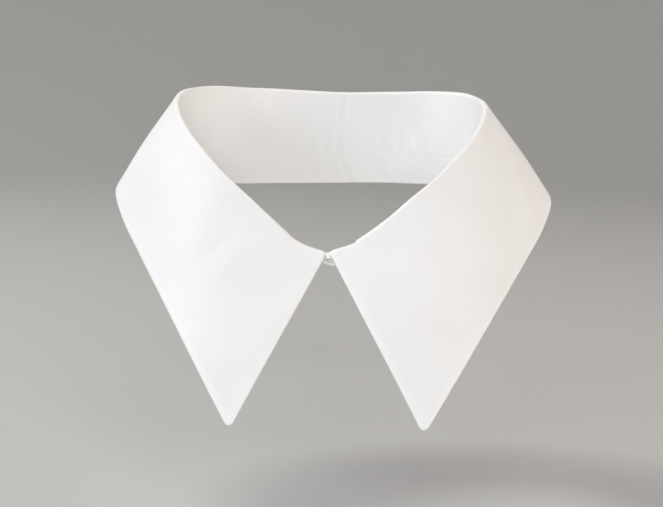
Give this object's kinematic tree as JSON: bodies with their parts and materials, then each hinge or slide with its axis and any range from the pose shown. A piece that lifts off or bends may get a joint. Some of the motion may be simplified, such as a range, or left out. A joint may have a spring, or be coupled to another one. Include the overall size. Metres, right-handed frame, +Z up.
{
  "type": "sew-on shirt collar",
  "caption": "Folded white cotton collar with a tall stand and long pointed wings, closed at the front with a hook and eye, for sewing or tacking to a neckline",
  "frame": {"origin": "middle of the neck opening, level with the neck edge at the centre back", "axes": "+X to the right of someone facing the collar, +Y to the back of the neck, +Z up as worn"},
  "size_m": [0.1766, 0.1639, 0.1133],
  "materials": {
    "cotton": "white cotton poplin, fine plain weave, pressed, matt with a faint sheen",
    "wire": "thin nickel-plated wire"
  },
  "bodies": {
    "root": {"upper_collar": "cotton", "under_collar_left": "cotton", "under_collar_right": "cotton", "neckband": "cotton", "hook": "wire", "eye": "wire"}
  },
  "joints": []
}
